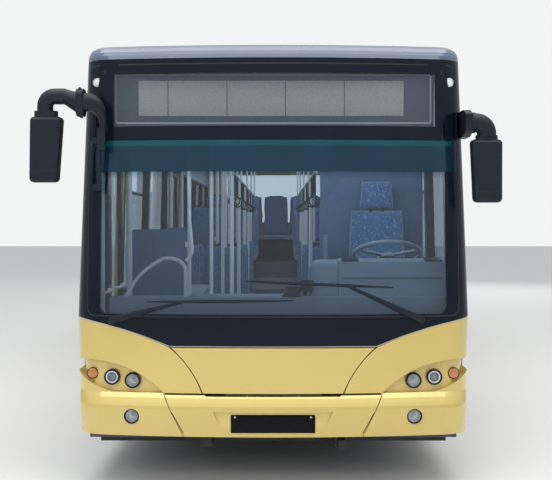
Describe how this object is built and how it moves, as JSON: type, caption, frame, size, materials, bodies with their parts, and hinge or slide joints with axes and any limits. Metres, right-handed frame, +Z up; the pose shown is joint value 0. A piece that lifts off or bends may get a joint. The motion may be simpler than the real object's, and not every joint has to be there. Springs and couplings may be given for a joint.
{
  "type": "city bus",
  "caption": "Low-entry city bus with double doors on one side, a large windscreen, arm mirrors, a front flap and a hollow, seated saloon.",
  "frame": {"origin": "on the ground, on the body's centreline, at mid-length", "axes": "+Z up, -Y is the front, +X is the driver's side"},
  "size_m": [2.9454, 11.9498, 2.8439],
  "materials": {
    "yellow": "glossy metallic yellow paint",
    "black_gloss": "glossy black",
    "slate": "glossy slate grey",
    "glass": "clear tinted",
    "lamp": "clear lamp lens",
    "black_matt": "matt charcoal",
    "grey_plastic": "matt grey",
    "steel": "black chassis paint",
    "rim": "silver paint",
    "tyre": "black rubber",
    "iron": "dark cast metal",
    "floor": "speckled grey floor",
    "seat": "blue moquette",
    "rail": "pale grey coat",
    "plate": "blank",
    "display": "dark matrix"
  },
  "bodies": {
    "bus": {"axles": "iron", "cab_partition": "grey_plastic", "dashboard": "grey_plastic", "destination_display": "display", "door_headers": "black_matt", "driver_seat": "seat", "engine_block": "iron", "floor": "floor", "front_bulkhead": "steel", "front_bumper": "yellow", "front_corner_panels": "yellow", "front_lamps": "lamp", "handrails": "rail", "lamp_carriers": "yellow", "left_side_wall": "yellow", "mirrors": "black_matt", "number_plates": "plate", "passenger_seats": "seat", "rear_lamps": "lamp", "rear_wall": "yellow", "rear_window": "glass", "right_side_wall": "yellow", "roof": "slate", "roof_domes": "slate", "roof_hatches": "grey_plastic", "side_windows": "glass", "steering_wheel": "black_matt", "underframe": "steel", "wheelhouses": "grey_plastic", "windscreen": "glass", "windscreen_surround": "black_gloss", "wipers": "black_matt"},
    "engine_lid": {"engine_lid": "yellow"},
    "front_door_front_leaf": {"front_door_front_glass": "glass", "front_door_front_leaf": "black_gloss"},
    "front_door_front_post": {"front_door_front_post": "rail"},
    "front_door_rear_leaf": {"front_door_rear_glass": "glass", "front_door_rear_leaf": "black_gloss"},
    "front_door_rear_post": {"front_door_rear_post": "rail"},
    "front_flap": {"front_flap": "yellow"},
    "knuckle_left": {"knuckle_left": "iron"},
    "knuckle_right": {"knuckle_right": "iron"},
    "middle_door_front_leaf": {"middle_door_front_glass": "glass", "middle_door_front_leaf": "black_gloss"},
    "middle_door_front_post": {"middle_door_front_post": "rail"},
    "middle_door_rear_leaf": {"middle_door_rear_glass": "glass", "middle_door_rear_leaf": "black_gloss"},
    "middle_door_rear_post": {"middle_door_rear_post": "rail"},
    "wheel_front_left": {"rim_front_left": "rim", "tyre_front_left": "tyre"},
    "wheel_front_right": {"rim_front_right": "rim", "tyre_front_right": "tyre"},
    "wheel_rear_left": {"rim_rear_left": "rim", "tyre_rear_left": "tyre"},
    "wheel_rear_right": {"rim_rear_right": "rim", "tyre_rear_right": "tyre"}
  },
  "joints": [
    {"name": "front_flap_hinge", "type": "hinge", "parent": "bus", "child": "front_flap", "pos_m": [0, -5.91887, 0.609], "axis": [1, 0, 0], "range_deg": [0, 85]},
    {"name": "engine_lid_hinge", "type": "hinge", "parent": "bus", "child": "engine_lid", "pos_m": [0, 5.95389, 1.341], "axis": [1, 0, 0], "range_deg": [0, 85]},
    {"name": "steer_left", "type": "hinge", "parent": "bus", "child": "knuckle_left", "pos_m": [0.972, -3.275, 0.479], "axis": [0, 0, 1], "range_deg": [-42, 42]},
    {"name": "spin_front_left", "type": "hinge", "parent": "knuckle_left", "child": "wheel_front_left", "pos_m": [1.082, -3.275, 0.479], "axis": [1, 0, 0], "continuous": true},
    {"name": "spin_rear_left", "type": "hinge", "parent": "bus", "child": "wheel_rear_left", "pos_m": [1.082, 2.6, 0.479], "axis": [1, 0, 0], "continuous": true},
    {"name": "steer_right", "type": "hinge", "parent": "bus", "child": "knuckle_right", "pos_m": [-0.972, -3.275, 0.479], "axis": [0, 0, 1], "range_deg": [-42, 42]},
    {"name": "spin_front_right", "type": "hinge", "parent": "knuckle_right", "child": "wheel_front_right", "pos_m": [-1.082, -3.275, 0.479], "axis": [1, 0, 0], "continuous": true},
    {"name": "spin_rear_right", "type": "hinge", "parent": "bus", "child": "wheel_rear_right", "pos_m": [-1.082, 2.6, 0.479], "axis": [1, 0, 0], "continuous": true},
    {"name": "front_door_front_swing", "type": "hinge", "parent": "bus", "child": "front_door_front_post", "pos_m": [-1.126, -5.487, 0.34], "axis": [0, 0, -1], "range_deg": [0, 78]},
    {"name": "front_door_front_fold", "type": "hinge", "parent": "front_door_front_post", "child": "front_door_front_leaf", "pos_m": [-1.126, -5.177, 0.34], "axis": [0, 0, -1], "range_deg": [-156, 0]},
    {"name": "front_door_rear_swing", "type": "hinge", "parent": "bus", "child": "front_door_rear_post", "pos_m": [-1.126, -4.183, 0.34], "axis": [0, 0, 1], "range_deg": [0, 78]},
    {"name": "front_door_rear_fold", "type": "hinge", "parent": "front_door_rear_post", "child": "front_door_rear_leaf", "pos_m": [-1.126, -4.493, 0.34], "axis": [0, 0, 1], "range_deg": [-156, 0]},
    {"name": "middle_door_front_swing", "type": "hinge", "parent": "bus", "child": "middle_door_front_post", "pos_m": [-1.126, -0.989, 0.34], "axis": [0, 0, -1], "range_deg": [0, 78]},
    {"name": "middle_door_front_fold", "type": "hinge", "parent": "middle_door_front_post", "child": "middle_door_front_leaf", "pos_m": [-1.126, -0.679, 0.34], "axis": [0, 0, -1], "range_deg": [-156, 0]},
    {"name": "middle_door_rear_swing", "type": "hinge", "parent": "bus", "child": "middle_door_rear_post", "pos_m": [-1.126, 0.315, 0.34], "axis": [0, 0, 1], "range_deg": [0, 78]},
    {"name": "middle_door_rear_fold", "type": "hinge", "parent": "middle_door_rear_post", "child": "middle_door_rear_leaf", "pos_m": [-1.126, 0.005, 0.34], "axis": [0, 0, 1], "range_deg": [-156, 0]}
  ],
  "couplings": [
    {"joint": "steer_right", "follows": "steer_left", "ratio": 1},
    {"joint": "front_door_front_fold", "follows": "front_door_front_swing", "ratio": -2},
    {"joint": "front_door_rear_fold", "follows": "front_door_rear_swing", "ratio": -2},
    {"joint": "middle_door_front_fold", "follows": "middle_door_front_swing", "ratio": -2},
    {"joint": "middle_door_rear_fold", "follows": "middle_door_rear_swing", "ratio": -2}
  ]
}
